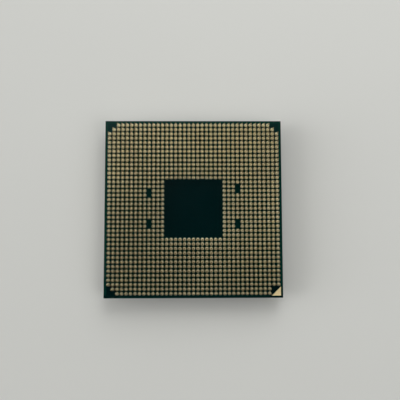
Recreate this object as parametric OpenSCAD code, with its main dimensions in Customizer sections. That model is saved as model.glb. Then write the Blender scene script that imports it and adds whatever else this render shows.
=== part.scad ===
// Pin-grid-array computer processor, lying on its lid with the contact pins up.
// The origin is the centre of the lid's flat face. +Z is up, +X is right and +Y is back.

/* [Substrate] */
// Side of the square board
board_side = 40; // [39.6:0.1:44]
// Thickness of the board
board_t = 1.2; // [0.8:0.1:2]
// Leg of the gold corner triangles
mark_leg = 2; // [1:0.1:2.2]
// Distance of the corner triangles from the edges of the board
mark_inset = 0.5; // [0.3:0.05:0.6]
// Thickness of the corner triangles
mark_t = 0.03; // [0.01:0.01:0.06]

/* [Pins] */
// Distance between neighbouring pins
pin_pitch = 1; // [0.9:0.01:1.01]
// Diameter of a pin
pin_d = 0.3; // [0.2:0.01:0.4]
// Height of a pin's tip above the board
pin_l = 2; // [1.2:0.1:3]
// Size of the chamfer at a pin's tip
pin_chamfer = 0.06; // [0.02:0.01:0.09]
// Diameter of the collar at a pin's foot
collar_d = 0.78; // [0.6:0.02:0.86]
// Height of the collar
collar_h = 0.08; // [0.04:0.01:0.2]
// Reach of the slope at the collar's rim
collar_bevel = 0.06; // [0.02:0.01:0.1]

/* [Lid] */
// Height of the lid from its flange's underside to its flat face
lid_h = 2.7; // [2.4:0.1:3.4]
// Side of the lid's flange
flange_side = 37.6; // [36.8:0.1:38.2]
// Corner radius of the flange
flange_r = 3.2; // [2.4:0.1:5]
// Thickness of the flange
flange_t = 1.1; // [0.8:0.1:1.4]
// Chamfer along the flange's lower edge
flange_chamfer = 0.15; // [0.05:0.05:0.4]
// Side of the raised flat face's block
plateau_side = 33.8; // [32:0.1:35]
// Corner radius of the block
plateau_r = 3; // [1.5:0.1:5]
// Chamfer round the flat face
plateau_chamfer = 0.3; // [0.1:0.05:0.6]
// Side of the pocket inside the lid
pocket_side = 29; // [27:0.1:30]
// Corner radius of the pocket
pocket_r = 2.5; // [1:0.1:5]

/* [Adhesive] */
// Thickness of the bead between the flange and the board
bond_t = 0.1; // [0.05:0.01:0.2]
// Width of the bead
bead_w = 2.4; // [1.6:0.1:3]
// Distance of the bead from the flange's edge
bead_inset = 0.6; // [0.2:0.1:0.8]
// Width of the gap that lets the pocket breathe
vent_w = 3; // [1:0.5:8]

/* [Die] */
// Length of the die
die_l = 22; // [12:0.5:24]
// Width of the die
die_w = 9.6; // [6:0.2:12]
// Thickness of the die
die_t = 0.78; // [0.5:0.01:0.8]
// Height of the bumps between the die and the board
bump_gap = 0.08; // [0.05:0.01:0.12]
// Thickness of the thermal joint between the die and the lid
thermal_t = 0.24; // [0.1:0.02:0.3]
// Reach of the underfill from the side of the die
underfill_w = 0.7; // [0.3:0.1:1.2]
// Height of the underfill from the board
underfill_h = 0.5; // [0.3:0.05:0.55]

/* [Capacitors] */
// Number of capacitors along each long side of the die
cap_count = 12; // [4:1:14]
// Distance between neighbouring capacitors
cap_pitch = 1.6; // [1:0.1:1.9]
// Length of a capacitor
cap_l = 1; // [0.8:0.1:1.6]
// Width and height of a capacitor
cap_w = 0.5; // [0.3:0.05:0.6]
// Length of each end cap
cap_end = 0.25; // [0.1:0.05:0.3]
// Distance of the capacitors from the side of the die
cap_offset = 2.2; // [1.6:0.1:3]

/* [Hidden] */
$fn = 48;

// Heights of the faces that the pieces meet at
flange_z = lid_h - flange_t;
board_z = lid_h + bond_t;
pin_z = board_z + board_t;
die_z = board_z - bump_gap - die_t;
pocket_z = die_z - thermal_t;

pin_r = pin_d / 2;
collar_r = collar_d / 2;

// Grid places are counted from the centre: columns to the right, rows to the back
grid_n = 39;
grid_half = (grid_n - 1) / 2;
void_half = 6;
corner_half = grid_half - 1;
// Column and front row of each key, a gap of two places
key_gaps = [[-10, 3], [-10, -4], [10, 4], [10, -4]];

function in_void(c, r) = max(abs(c), abs(r)) <= void_half;
function in_key(c, r) = len([for (k = key_gaps) if (c == k[0] && (r == k[1] || r == k[1] + 1)) k]) > 0;
function is_marked_corner(c, r) = c > 0 && r < 0;
function in_corner(c, r) =
    min(abs(c), abs(r)) >= corner_half
    && (abs(c) + abs(r) > 2 * corner_half || is_marked_corner(c, r));
function has_pin(c, r) = !in_void(c, r) && !in_key(c, r) && !in_corner(c, r);

// Rows are lettered from the front, without the letters that look like figures
row_letters = "abcdefghjklmnprtuvwy";
function row_label(i) =
    i < len(row_letters) ? row_letters[i] : str("a", row_letters[i - len(row_letters)]);
function row_name(i) = str("pins_row_", row_label(i));

// Quarters of the grid: name, side in X and side in Y
quarters = [
    ["front_left", -1, -1],
    ["front_right", 1, -1],
    ["back_left", -1, 1],
    ["back_right", 1, 1]
];
function collar_name(q) = str("collars_", q[0]);
function on_side(place, side) = side > 0 ? place >= 0 : place < 0;

// Square slab with round corners
module slab(side, radius, height) {
    straight = side - 2 * radius;
    translate([-side / 2, -straight / 2, 0]) cube([side, straight, height]);
    translate([-straight / 2, -side / 2, 0]) cube([straight, side, height]);
    for (x = [-1, 1], y = [-1, 1])
        translate([x * straight / 2, y * straight / 2, 0]) cylinder(r = radius, h = height);
}

// Square slab with round corners and a chamfer along its lower edge
module chamfered_slab(side, radius, height, chamfer) {
    straight = side - 2 * radius;
    half = side / 2;
    for (turn = [0, 90])
        rotate([90, 0, turn])
            translate([0, 0, -straight / 2])
                linear_extrude(straight)
                    polygon([
                        [-half + chamfer, 0], [half - chamfer, 0], [half, chamfer],
                        [half, height], [-half, height], [-half, chamfer]
                    ]);
    for (x = [-1, 1], y = [-1, 1])
        translate([x * straight / 2, y * straight / 2, 0])
            rotate_extrude()
                polygon([[0, 0], [radius - chamfer, 0], [radius, chamfer], [radius, height], [0, height]]);
}

// Right-angled triangle in the marked corner of the board
module corner_triangle() {
    corner = board_side / 2 - mark_inset;
    linear_extrude(mark_t)
        polygon([[corner, -corner], [corner, -corner + mark_leg], [corner - mark_leg, -corner]]);
}

module substrate() {
    color("#0b3a38")
        translate([-board_side / 2, -board_side / 2, board_z])
            cube([board_side, board_side, board_t]);
}

module pin_one_mark() {
    color("#e3c587") translate([0, 0, pin_z]) corner_triangle();
}

module lid_side_mark() {
    color("#e3c587") translate([0, 0, board_z - mark_t]) corner_triangle();
}

module lid() {
    color("#c4c6c6")
        difference() {
            union() {
                chamfered_slab(plateau_side, plateau_r, flange_z, plateau_chamfer);
                translate([0, 0, flange_z])
                    chamfered_slab(flange_side, flange_r, flange_t, flange_chamfer);
            }
            translate([0, 0, pocket_z]) slab(pocket_side, pocket_r, lid_h);
        }
}

module lid_adhesive() {
    outer = flange_side - 2 * bead_inset;
    inner = outer - 2 * bead_w;
    color("#17181a")
        translate([0, 0, lid_h])
            difference() {
                slab(outer, flange_r - bead_inset, bond_t);
                translate([0, 0, -bond_t]) slab(inner, pocket_r, 3 * bond_t);
                translate([-vent_w / 2, 0, -bond_t]) cube([vent_w, outer, 3 * bond_t]);
            }
}

module die() {
    color("#3a3d44")
        translate([-die_l / 2, -die_w / 2, die_z])
            cube([die_l, die_w, die_t]);
}

module thermal_joint() {
    color("#a7a9ad")
        translate([-die_l / 2, -die_w / 2, pocket_z])
            cube([die_l, die_w, thermal_t]);
}

// Sloped skirt along one side of the die, hanging from the board
module skirt_side(length) {
    rotate([90, 0, 90])
        translate([0, 0, -length / 2])
            linear_extrude(length)
                polygon([[0, 0], [underfill_w, 0], [0, -underfill_h]]);
}

module underfill() {
    color("#7d5a2c")
        translate([0, 0, board_z]) {
            translate([-die_l / 2, -die_w / 2, -bump_gap]) cube([die_l, die_w, bump_gap]);
            for (side = [0, 180]) {
                rotate([0, 0, side]) translate([0, die_w / 2, 0]) skirt_side(die_l);
                rotate([0, 0, side + 90]) translate([0, die_l / 2, 0]) skirt_side(die_w);
            }
            for (x = [-1, 1], y = [-1, 1])
                translate([x * die_l / 2, y * die_w / 2, 0])
                    rotate([0, 0, atan2(y, x) - 45])
                        rotate_extrude(angle = 90)
                            polygon([[0, 0], [underfill_w, 0], [0, -underfill_h]]);
        }
}

// One child at each place of the two capacitor rows
module at_capacitors() {
    for (side = [-1, 1], i = [0:cap_count - 1])
        translate([
            (i - (cap_count - 1) / 2) * cap_pitch,
            side * (die_w / 2 + cap_offset),
            board_z - cap_w / 2
        ])
            children();
}

module capacitor_bodies() {
    color("#8d6b4d")
        at_capacitors()
            cube([cap_w, cap_l - 2 * cap_end, cap_w], center = true);
}

module capacitor_terminals() {
    color("#cfcfca")
        at_capacitors()
            for (end = [-1, 1])
                translate([0, end * (cap_l - cap_end) / 2, 0])
                    cube([cap_w, cap_end, cap_w], center = true);
}

// Straight pin with a chamfered tip, standing on its collar
module contact_pin() {
    rotate_extrude()
        polygon([
            [0, collar_h], [pin_r, collar_h], [pin_r, pin_l - pin_chamfer],
            [pin_r - pin_chamfer, pin_l], [0, pin_l]
        ]);
}

// Flat head with a sloped rim, soldered to the board at a pin's foot
module collar() {
    cylinder(r1 = collar_r, r2 = collar_r - collar_bevel, h = collar_h);
}

module pin_row(i) {
    r = i - grid_half;
    color("#b59c5d")
        for (c = [-grid_half:grid_half])
            if (has_pin(c, r))
                translate([c * pin_pitch, r * pin_pitch, pin_z]) contact_pin();
}

module collar_quarter(q) {
    color("#a58f58")
        for (c = [-grid_half:grid_half], r = [-grid_half:grid_half])
            if (on_side(c, q[1]) && on_side(r, q[2]) && has_pin(c, r))
                translate([c * pin_pitch, r * pin_pitch, pin_z]) collar();
}

substrate();
pin_one_mark();
lid_side_mark();
lid();
lid_adhesive();
die();
thermal_joint();
underfill();
capacitor_bodies();
capacitor_terminals();
for (q = quarters)
    collar_quarter(q);
for (i = [0:grid_n - 1])
    pin_row(i);
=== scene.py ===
"""Looks of a pin-grid processor that lies on its lid with the pins up.

Pieces, lamps and the camera are placed in metres, as the frame is. Lengths inside the materials are in
millimetres of the part's own frame.
"""

import math

import bpy
import numpy as np
from mathutils import Matrix, Vector


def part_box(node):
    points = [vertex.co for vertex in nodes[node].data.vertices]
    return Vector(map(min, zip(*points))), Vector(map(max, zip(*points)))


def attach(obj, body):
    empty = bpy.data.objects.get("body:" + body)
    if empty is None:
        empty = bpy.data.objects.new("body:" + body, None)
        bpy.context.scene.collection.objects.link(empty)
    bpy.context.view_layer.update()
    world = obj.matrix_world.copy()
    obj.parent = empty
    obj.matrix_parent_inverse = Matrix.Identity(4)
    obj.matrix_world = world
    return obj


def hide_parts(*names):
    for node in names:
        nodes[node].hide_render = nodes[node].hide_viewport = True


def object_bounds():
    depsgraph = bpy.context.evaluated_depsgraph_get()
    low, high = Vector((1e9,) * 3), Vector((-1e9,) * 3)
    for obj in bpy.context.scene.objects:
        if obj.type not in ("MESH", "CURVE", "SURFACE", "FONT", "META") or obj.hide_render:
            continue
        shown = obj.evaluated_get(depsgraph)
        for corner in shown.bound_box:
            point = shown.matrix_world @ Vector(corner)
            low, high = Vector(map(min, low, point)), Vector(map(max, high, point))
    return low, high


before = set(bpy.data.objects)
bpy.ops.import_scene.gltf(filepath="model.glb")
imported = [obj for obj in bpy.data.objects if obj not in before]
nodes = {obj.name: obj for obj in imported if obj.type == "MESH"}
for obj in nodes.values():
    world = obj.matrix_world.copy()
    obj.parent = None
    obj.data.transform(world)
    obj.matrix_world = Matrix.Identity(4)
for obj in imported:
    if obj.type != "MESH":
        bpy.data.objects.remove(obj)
cad_low, cad_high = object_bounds()
board_low, board_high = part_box("substrate")
lid_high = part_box("lid")[1]
rng = np.random.default_rng(seed=1331)

MM = 0.001
PITCH = 1.0 * MM

# Sizes of the frame in millimetres, for the materials
BOARD_HALF = board_high.x / MM
BOARD_FLOOR = board_low.z / MM
BOARD_THICK = (board_high.z - board_low.z) / MM
LID_HALF = lid_high.x / MM
PIN_TOP = cad_high.z / MM

# Most of a noise lies between these two values
NOISE_SPAN = (0.3, 0.7)

# Sockets of a Mix node, which share their names: for numbers, then for colours
MIX_NUMBERS = (2, 3)
MIX_NUMBER_RESULT = 0
MIX_COLOURS = (6, 7)
MIX_COLOUR_RESULT = 2


class Look:
    """A material with one Principled shader, and short calls for the nodes that feed it.

    Positions reach the nodes in millimetres of the part's own frame.
    """

    def __init__(self, name, **sockets):
        self.material = bpy.data.materials.new(name)
        self.material.use_nodes = True
        self.tree = self.material.node_tree
        self.tree.nodes.clear()
        self.shader = self.node("ShaderNodeBsdfPrincipled")
        for socket, value in sockets.items():
            self.set(socket.replace("_", " "), value)
        surface = self.node("ShaderNodeOutputMaterial")
        self.tree.links.new(self.shader.outputs["BSDF"], surface.inputs["Surface"])
        coordinates = self.node("ShaderNodeTexCoord")
        self.place = self.vector("SCALE", coordinates.outputs["Object"], scale=1 / MM)

    def node(self, kind, **settings):
        made = self.tree.nodes.new(kind)
        for key, value in settings.items():
            setattr(made, key, value)
        return made

    def feed(self, socket, value):
        if isinstance(value, bpy.types.NodeSocket):
            self.tree.links.new(value, socket)
        else:
            socket.default_value = value

    def set(self, socket, value):
        self.feed(self.shader.inputs[socket], value)

    def vector(self, operation, a, b=None, scale=None):
        made = self.node("ShaderNodeVectorMath", operation=operation)
        self.feed(made.inputs[0], a)
        if b is not None:
            self.feed(made.inputs[1], b)
        if scale is not None:
            made.inputs["Scale"].default_value = scale
        return made.outputs["Vector"]

    def math(self, operation, a, b=0.0):
        made = self.node("ShaderNodeMath", operation=operation)
        for socket, value in zip(made.inputs, (a, b)):
            self.feed(socket, value)
        return made.outputs["Value"]

    def axes(self, vector=None):
        made = self.node("ShaderNodeSeparateXYZ")
        self.feed(made.inputs[0], self.place if vector is None else vector)
        return made.outputs["X"], made.outputs["Y"], made.outputs["Z"]

    def reach(self, which="MAXIMUM"):
        """The larger of the distances from the two middle lines, or with MINIMUM the smaller."""
        x, y, _ = self.axes()
        return self.math(which, self.math("ABSOLUTE", x), self.math("ABSOLUTE", y))

    def noise(self, per_mm, detail=3.0, stretch=None):
        made = self.node("ShaderNodeTexNoise")
        where = self.place if stretch is None else self.vector("MULTIPLY", self.place, stretch)
        self.feed(made.inputs["Vector"], where)
        made.inputs["Scale"].default_value = per_mm
        made.inputs["Detail"].default_value = detail
        return made.outputs["Fac"]

    def steps(self, value, low, high, start=0.0, end=1.0):
        """The value's way from low to high, eased, as a number from start to end."""
        made = self.node("ShaderNodeMapRange", interpolation_type="SMOOTHSTEP")
        for socket, x in zip(made.inputs, (value, low, high, start, end)):
            self.feed(socket, x)
        return made.outputs["Result"]

    def spread(self, noise, start, end):
        """A noise as a number that varies from start to end."""
        return self.steps(noise, *NOISE_SPAN, start, end)

    def colours(self, share, a, b):
        """A mix of two colours, by the share of the second."""
        made = self.node("ShaderNodeMix", data_type="RGBA")
        self.feed(made.inputs["Factor"], share)
        for socket, colour in zip(MIX_COLOURS, (a, b)):
            whole = colour if isinstance(colour, bpy.types.NodeSocket) else (*colour, 1.0)
            self.feed(made.inputs[socket], whole)
        return made.outputs[MIX_COLOUR_RESULT]

    def each_place(self):
        """One number from 0 to 1 for each place of the pin grid."""
        half_step = (0.5, 0.5, 0.0)
        flat = self.vector("MULTIPLY", self.place, (MM / PITCH, MM / PITCH, 0.0))
        cell = self.vector("FLOOR", self.vector("ADD", flat, half_step))
        made = self.node("ShaderNodeTexWhiteNoise", noise_dimensions="3D")
        self.feed(made.inputs["Vector"], cell)
        return made.outputs["Value"]

    def bump(self, height, depth_mm):
        made = self.node("ShaderNodeBump")
        made.inputs["Distance"].default_value = depth_mm * MM
        self.feed(made.inputs["Height"], height)
        self.set("Normal", made.outputs["Normal"])


def painted_front_shade(look):
    """Painted shade on the gold: a share that grows towards the front left corner, with a cloudy edge."""
    slant = 0.3
    cloud_reach = 7.0
    field_reach = 30.0
    x, y, _ = look.axes()
    across = look.math("ADD", y, look.math("MULTIPLY", x, slant))
    cloud = look.spread(look.noise(per_mm=0.09, detail=2.0), -cloud_reach, cloud_reach)
    across = look.math("ADD", across, cloud)
    return look.steps(across, field_reach, -field_reach, end=0.9)


def gold_pins():
    """Drawn wire with gold plating, whose cut tips are duller than its sides. Painted reflection darkens the
    tips, standing in for the dark room overhead that they mirror, and painted shade darkens the gold towards
    the front left.
    """
    plating_tones = (0.90, 0.785, 0.47), (0.98, 0.875, 0.55)
    # painted shade: the darker tone of the gold towards the front left
    painted_shade_tone = (0.65, 0.55, 0.33)
    # painted reflection: the dark tone of the tips stands in for the dark room overhead
    painted_tip_reflection = (0.19, 0.14, 0.07)
    tip_from = PIN_TOP - 0.10
    tip_to = PIN_TOP - 0.05
    tip_rougher = 0.18
    look = Look("gold_plated_pins", Metallic=1.0)
    grain = look.noise(per_mm=14.0, detail=2.0)
    colour = look.colours(look.each_place(), *plating_tones)
    # painted shade, darker towards the front left
    colour = look.colours(painted_front_shade(look), colour, painted_shade_tone)
    tip = look.steps(look.axes()[2], tip_from, tip_to)
    # painted reflection on the tips, broken up by the grain
    wear_and_painted_tip_shade = look.math("MULTIPLY", tip, look.steps(grain, low=0.2, high=0.5, start=0.6, end=0.9))
    look.set("Base Color", look.colours(wear_and_painted_tip_shade, colour, painted_tip_reflection))
    rough = look.spread(grain, start=0.24, end=0.36)
    look.set("Roughness", look.math("ADD", rough, look.math("MULTIPLY", tip, tip_rougher)))
    drawn = look.noise(per_mm=30.0, detail=2.0, stretch=(1.0, 1.0, 0.12))
    look.bump(drawn, depth_mm=0.0015)
    return look.material


def gold_feet():
    """Plated solder that differs a little from foot to foot, with stains, and painted shade towards the
    front left.
    """
    plating_tones = (0.605, 0.55, 0.366), (0.692, 0.642, 0.444)
    # painted shade: the darker tone of the feet towards the front left
    painted_shade_tone = (0.399, 0.362, 0.247)
    stained = (0.40, 0.33, 0.19)
    look = Look("gold_plated_feet", Metallic=1.0)
    stain = look.noise(per_mm=5.0)
    colour = look.colours(look.each_place(), *plating_tones)
    # painted shade, darker towards the front left
    colour = look.colours(painted_front_shade(look), colour, painted_shade_tone)
    colour = look.colours(look.steps(stain, low=0.55, high=0.80, end=0.6), colour, stained)
    look.set("Base Color", colour)
    look.set("Roughness", look.spread(stain, start=0.22, end=0.36))
    look.bump(look.noise(per_mm=9.0, detail=2.0), depth_mm=0.004)
    return look.material


def gold_marks():
    """Matt gold foil of the corner marks."""
    foil = (0.90, 0.722, 0.382), (0.85, 0.683, 0.382)
    look = Look("gold_foil_mark", Metallic=0.12)
    grain = look.noise(per_mm=12.0)
    look.set("Base Color", look.colours(grain, *foil))
    look.set("Roughness", look.spread(grain, start=0.45, end=0.58))
    look.bump(look.noise(per_mm=25.0, detail=2.0), depth_mm=0.006)
    return look.material


def routed_lines(look):
    """Parallel lines in fields that change direction, as a number that is 1 on a line."""
    fields_per_mm = 0.35
    turned_share = 0.5
    half_spacing = 0.12
    line_edge = 0.04, 0.07
    x, y, _ = look.axes()
    fields = look.node("ShaderNodeTexVoronoi", distance="CHEBYCHEV")
    look.feed(fields.inputs["Vector"], look.place)
    fields.inputs["Scale"].default_value = fields_per_mm
    turn = look.math("GREATER_THAN", look.axes(fields.outputs["Color"])[0], turned_share)
    straight = look.math("SUBTRACT", 1.0, turn)
    along = look.math("ADD", look.math("MULTIPLY", x, turn), look.math("MULTIPLY", y, straight))
    return look.steps(look.math("PINGPONG", along, half_spacing), *line_edge)


def solder_mask(look, line):
    """Mask with faint lines, lighter over copper all over but in the bare middle. The front corners keep the
    darker bare colour as painted shade.
    """
    bare = (0.0002, 0.0068, 0.0074), (0.0004, 0.0098, 0.0102)
    over_copper = (0.0004, 0.0165, 0.0155), (0.0008, 0.0215, 0.0195)
    over_line = (0.0006, 0.0135, 0.0130)
    line_share = 0.35
    middle_edge = 6.2, 6.7
    corner_edge = 17.2, 16.6
    back_half = -2.0, 2.0
    cloud = look.noise(per_mm=0.15)
    # painted shade: the copper share is kept off the two front corners, which stay dark
    off_corners = look.steps(look.reach("MINIMUM"), *corner_edge)
    outside_painted_corner_shade = look.math("MAXIMUM", off_corners, look.steps(look.axes()[1], *back_half))
    copper = look.math("MULTIPLY", look.steps(look.reach(), *middle_edge), outside_painted_corner_shade)
    mask = look.colours(copper, look.colours(cloud, *bare), look.colours(cloud, *over_copper))
    return look.colours(look.math("MULTIPLY", line, line_share), mask, over_line)


def laminate(look):
    """The layers in the cut edge, the same from both faces: a skin of mask, thin plies and a woven core."""
    skin = (0.0012, 0.010, 0.0095)
    plies = (0.003, 0.012, 0.010), (0.010, 0.028, 0.019)
    resin = (0.036, 0.050, 0.022), (0.078, 0.088, 0.038)
    skin_edge = 0.02, 0.035
    core_edge = 0.20, 0.24
    half_ply = 0.035
    ply_edge = 0.012, 0.022
    height = look.math("SUBTRACT", look.axes()[2], BOARD_FLOOR)
    depth = look.math("PINGPONG", height, BOARD_THICK / 2)
    ply = look.steps(look.math("PINGPONG", depth, half_ply), *ply_edge)
    weave = look.noise(per_mm=4.0, stretch=(1.0, 1.0, 5.0))
    core = look.steps(depth, *core_edge)
    inside = look.colours(core, look.colours(ply, *plies), look.colours(weave, *resin))
    return look.colours(look.steps(depth, *skin_edge), skin, inside)


def board():
    """Laminate under a glossy mask, with a paler margin that is rubbed where the mask thins at the cut.
    Painted shade dims the margin along the front edge.
    """
    margin = (0.0014, 0.0270, 0.0205)
    rubbed_mask = (0.010, 0.036, 0.028)
    cut = BOARD_HALF - 0.02
    rim_from = BOARD_HALF - 0.22
    margin_edge = BOARD_HALF - 0.75, BOARD_HALF - 0.45
    # painted shade along the front edge
    front_painted_shade = 0.4 - BOARD_HALF, 1.2 - BOARD_HALF
    cut_rougher = 0.38
    line_relief = 0.5
    grain_relief = 0.6
    look = Look("solder_mask_board", IOR=1.5, Specular_IOR_Level=0.33)
    reach = look.reach()
    grain = look.noise(per_mm=6.0)
    line = routed_lines(look)
    side = look.math("GREATER_THAN", reach, cut)
    top = look.math("SUBTRACT", 1.0, side)
    colour = look.colours(side, solder_mask(look, line), laminate(look))
    # painted shade: the pale margin hardly shows along the front edge
    pale = look.math("MULTIPLY", top, look.steps(reach, *margin_edge))
    pale = look.math("MULTIPLY", pale, look.steps(look.axes()[1], *front_painted_shade, start=0.15))
    colour = look.colours(pale, colour, margin)
    rim = look.steps(reach, rim_from, cut)
    rubbed = look.math("MULTIPLY", rim, look.steps(grain, low=0.45, high=0.75, end=0.5))
    colour = look.colours(look.math("MULTIPLY", rubbed, top), colour, rubbed_mask)
    look.set("Base Color", colour)
    rough = look.spread(grain, start=0.09, end=0.15)
    look.set("Roughness", look.math("ADD", rough, look.math("MULTIPLY", side, cut_rougher)))
    lines = look.math("MULTIPLY", line, line_relief)
    relief = look.math("ADD", lines, look.math("MULTIPLY", grain, grain_relief))
    look.bump(relief, depth_mm=0.004)
    return look.material


def nickel():
    """Brushed nickel plate that has worn to copper in places along the rim."""
    plate = (0.50, 0.49, 0.465), (0.58, 0.57, 0.55)
    worn_plate = (0.72, 0.60, 0.50)
    rim_width = 0.12
    look = Look("nickel_plate", Metallic=1.0)
    cloud = look.noise(per_mm=0.2)
    grain = look.noise(per_mm=18.0, detail=2.0)
    brush = look.noise(per_mm=9.0, detail=2.0, stretch=(1.0, 0.06, 1.0))
    rim = look.steps(look.reach(), LID_HALF - rim_width, LID_HALF)
    wear_and_painted_tip_shade = look.math("MULTIPLY", rim, look.steps(look.noise(per_mm=1.6), low=0.55, high=0.75, end=0.5))
    look.set("Base Color", look.colours(wear_and_painted_tip_shade, look.colours(cloud, *plate), worn_plate))
    look.set("Roughness", look.spread(brush, start=0.20, end=0.29))
    look.bump(look.math("ADD", grain, brush), depth_mm=0.0006)
    return look.material


def plain(name, tones, rough, metallic=0.0):
    """A material whose colour, roughness and surface vary with one grain."""
    look = Look(name, Metallic=metallic)
    grain = look.noise(per_mm=4.0)
    look.set("Base Color", look.colours(grain, *tones))
    look.set("Roughness", look.spread(grain, *rough))
    look.bump(grain, depth_mm=0.01)
    return look.material


def dress(material, *names):
    for name in names:
        data = nodes[name].data
        data.materials.clear()
        data.materials.append(material)


def soften(name, width_mm):
    """Eases the sharp edges of a CAD node as it is shown. Its split corners are joined first."""
    weld = nodes[name].modifiers.new("joined_corners", "WELD")
    weld.merge_threshold = 0.001 * MM
    bevel = nodes[name].modifiers.new("eased_edges", "BEVEL")
    bevel.width = width_mm * MM
    bevel.segments = 2
    bevel.limit_method = "ANGLE"
    bevel.angle_limit = math.radians(40)


pin_rows = sorted(n for n in nodes if n.startswith("pins_row_"))
collars = sorted(n for n in nodes if n.startswith("collars_"))

dress(board(), "substrate")
dress(gold_marks(), "pin_one_mark", "lid_side_mark")
dress(gold_pins(), *pin_rows)
dress(nickel(), "lid")
soften("substrate", width_mm=0.04)

# Tones of the pieces between the lid and the board
BLACK = (0.008, 0.008, 0.009), (0.014, 0.014, 0.015)
SILICON = (0.05, 0.055, 0.065), (0.07, 0.075, 0.085)
SOLDER = (0.55, 0.55, 0.56), (0.62, 0.62, 0.62)
RESIN = (0.12, 0.075, 0.025), (0.17, 0.11, 0.04)
CERAMIC = (0.25, 0.14, 0.075), (0.32, 0.19, 0.10)
TIN = (0.6, 0.6, 0.58), (0.68, 0.68, 0.66)
dress(plain("black_silicone", BLACK, rough=(0.45, 0.65)), "lid_adhesive")
dress(plain("silicon_die", SILICON, rough=(0.12, 0.22)), "die")
dress(plain("soft_solder", SOLDER, rough=(0.35, 0.5), metallic=1.0), "thermal_joint")
dress(plain("underfill_resin", RESIN, rough=(0.3, 0.5)), "underfill")
dress(plain("capacitor_ceramic", CERAMIC, rough=(0.45, 0.6)), "capacitor_bodies")
dress(plain("tin_plate", TIN, rough=(0.3, 0.45), metallic=1.0), "capacitor_terminals")

# Soldered feet, in millimetres: a low dome that ends in a fillet round the pin
FOOT_RADIUS = 0.395
FOOT_SHOULDER = 0.250
FOOT_DOME = 0.080
FOOT_HEIGHT = 0.230
PIN_RADIUS = 0.150
FOOT_SIDES = 20
ARC_POINTS = 5
LOWEST_SHARE = 0.9
HIGHEST_SHARE = 1.1


def foot_profile():
    """Radii and heights along a foot, from the board up: one quarter ellipse is the dome, one the fillet."""
    turn = np.linspace(0.0, math.pi / 2, ARC_POINTS)
    dome_r = FOOT_SHOULDER + (FOOT_RADIUS - FOOT_SHOULDER) * np.cos(turn)
    dome_z = FOOT_DOME * np.sin(turn)
    fillet_r = FOOT_SHOULDER - (FOOT_SHOULDER - PIN_RADIUS) * np.sin(turn[1:])
    fillet_z = FOOT_HEIGHT - (FOOT_HEIGHT - FOOT_DOME) * np.cos(turn[1:])
    return np.concatenate([dome_r, fillet_r]), np.concatenate([dome_z, fillet_z])


def one_foot():
    """Points of a foot, and its faces: the smooth shell and the two flat caps that close it."""
    radii, heights = foot_profile()
    turn = np.arange(FOOT_SIDES) * 2 * math.pi / FOOT_SIDES
    points = [(r * math.cos(t), r * math.sin(t), z) for r, z in zip(radii, heights) for t in turn]
    shell = []
    for level in range(len(radii) - 1):
        low, high = level * FOOT_SIDES, (level + 1) * FOOT_SIDES
        for i in range(FOOT_SIDES):
            j = (i + 1) % FOOT_SIDES
            shell.append((low + i, low + j, high + j, high + i))
    rim = np.arange(FOOT_SIDES)
    caps = [rim[::-1], rim + (len(radii) - 1) * FOOT_SIDES]
    return np.array(points), shell, caps


def feet(name, node, material):
    """One foot at each place of the grid where the node has a collar."""
    corners = np.empty(len(nodes[node].data.vertices) * 3)
    nodes[node].data.vertices.foreach_get("co", corners)
    places = np.unique(np.round(corners.reshape(-1, 3)[:, :2] / PITCH).astype(int), axis=0)
    foot, shell, caps = one_foot()
    share = rng.uniform(LOWEST_SHARE, HIGHEST_SHARE, len(places))
    verts, faces = [], []
    for k, (column, row) in enumerate(places):
        verts.append(foot * (1.0, 1.0, share[k]) * MM + (column * PITCH, row * PITCH, board_high.z))
        faces += [(np.array(face) + k * len(foot)).tolist() for face in shell + caps]
    mesh = bpy.data.meshes.new(name)
    mesh.from_pydata(np.concatenate(verts).tolist(), [], faces)
    mesh.materials.append(material)
    smooth = [True] * len(shell) + [False] * len(caps)
    mesh.polygons.foreach_set("use_smooth", smooth * len(places))
    piece = bpy.data.objects.new(name, mesh)
    bpy.context.scene.collection.objects.link(piece)
    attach(piece, "root")
    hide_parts(node)


foot_look = gold_feet()
for node in collars:
    feet(node.replace("collars", "soldered_feet"), node, foot_look)


def floor():
    """A pale matt table."""
    pale = (0.683, 0.688, 0.658), (0.697, 0.702, 0.672)
    half = 1.5
    look = Look("pale_table", IOR=1.45, Specular_IOR_Level=0.1)
    look.set("Base Color", look.colours(look.noise(per_mm=0.02), *pale))
    look.set("Roughness", look.spread(look.noise(per_mm=0.5), start=0.55, end=0.68))
    look.bump(look.noise(per_mm=2.0), depth_mm=0.004)
    corners = [(-half, -half, 0), (half, -half, 0), (half, half, 0), (-half, half, 0)]
    mesh = bpy.data.meshes.new("table")
    mesh.from_pydata(corners, [], [(0, 1, 2, 3)])
    mesh.materials.append(look.material)
    made = bpy.data.objects.new("table", mesh)
    made.location.z = cad_low.z
    bpy.context.scene.collection.objects.link(made)


def aimed(name, data, way):
    """A lamp that shines along the way given."""
    made = bpy.data.objects.new(name, data)
    made.rotation_euler = way.to_track_quat("-Z", "Y").to_euler()
    bpy.context.scene.collection.objects.link(made)
    return made


def lamp(name, place, size, level):
    """A square soft box that shines on the board. The level is the brightness that it shows."""
    data = bpy.data.lights.new(name, "AREA")
    data.size = size
    data.energy = level * math.pi * size * size
    made = aimed(name, data, Vector((0.0, 0.0, board_high.z)) - Vector(place))
    made.location = place
    made.visible_camera = False


def far_lamp(name, way, width, level):
    """A soft round light far away, its width in degrees. The level is the brightness that it shows."""
    data = bpy.data.lights.new(name, "SUN")
    data.angle = math.radians(width)
    data.energy = level * 2 * math.pi * (1 - math.cos(data.angle / 2))
    aimed(name, data, -Vector(way))


def ranged(tree, value, ends, levels=(0.0, 1.0), ease="LINEAR"):
    """A value's way from one of its ends to the other, as a number between two levels."""
    made = tree.nodes.new("ShaderNodeMapRange")
    made.interpolation_type = ease
    tree.links.new(value, made.inputs["Value"])
    for socket, number in zip(list(made.inputs)[1:], ends + levels):
        socket.default_value = number
    return made.outputs["Result"]


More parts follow.
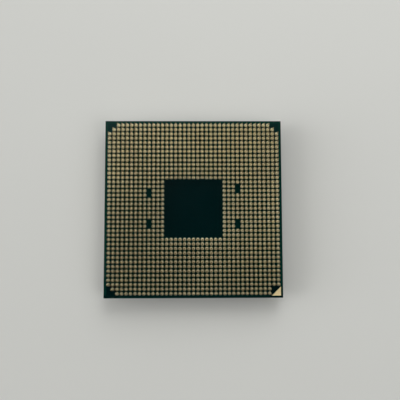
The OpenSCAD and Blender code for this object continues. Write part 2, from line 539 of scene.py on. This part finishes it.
def sky():
    """Soft room light that is even at the horizon and darkens overhead, towards the front."""
    tint = (1.0, 1.0, 0.985, 1.0)
    horizon_level = 0.65
    horizon_heights = 0.02, 0.36
    dark_way = Vector((0.30, -0.60, 0.74)).normalized()
    dark_cosines = 0.25, 0.67
    room_levels = 0.90, 0.010
    world = bpy.data.worlds.new("soft_room")
    world.use_nodes = True
    tree = world.node_tree
    way = tree.nodes.new("ShaderNodeTexCoord").outputs["Generated"]
    near = tree.nodes.new("ShaderNodeVectorMath")
    near.operation = "DOT_PRODUCT"
    near.inputs[1].default_value = dark_way
    tree.links.new(way, near.inputs[0])
    fade = ranged(tree, near.outputs["Value"], dark_cosines, room_levels)
    height = tree.nodes.new("ShaderNodeSeparateXYZ")
    tree.links.new(way, height.inputs[0])
    rise = ranged(tree, height.outputs["Z"], horizon_heights, ease="SMOOTHSTEP")
    level = tree.nodes.new("ShaderNodeMix")
    at_horizon, overhead = (level.inputs[socket] for socket in MIX_NUMBERS)
    at_horizon.default_value = horizon_level
    tree.links.new(rise, level.inputs["Factor"])
    tree.links.new(fade, overhead)
    background = tree.nodes["Background"]
    background.inputs["Color"].default_value = tint
    tree.links.new(level.outputs[MIX_NUMBER_RESULT], background.inputs["Strength"])
    bpy.context.scene.world = world


def camera():
    """The photograph's view, found from the corners of the board and the pin grid."""
    place = Vector((-0.301, -8.518, 127.727)) * MM
    aim = Vector((1.493, 1.902, 4.0)) * MM
    roll = math.radians(-0.149)
    data = bpy.data.cameras.new("camera")
    data.sensor_width = 36.0
    data.lens = 49.5
    data.clip_start, data.clip_end = 0.005, 10.0
    ahead = (aim - place).normalized()
    right = ahead.cross(Vector((0, 1, 0))).normalized()
    up = right.cross(ahead)
    turn = Matrix((right, up, -ahead)).transposed().to_4x4()
    made = bpy.data.objects.new("camera", data)
    made.matrix_world = Matrix.Translation(place) @ turn @ Matrix.Rotation(roll, 4, "Z")
    bpy.context.scene.collection.objects.link(made)
    bpy.context.scene.camera = made


floor()
sky()
far_lamp("left", way=(-0.975, -0.05, 0.39), width=38.0, level=3.55)
lamp("back", place=(0.05, 0.24, 0.21), size=0.20, level=2.5)
far_lamp("right", way=(0.70, -0.275, 0.70), width=38.0, level=1.82)
camera()
bpy.context.scene.view_settings.view_transform = "Standard"
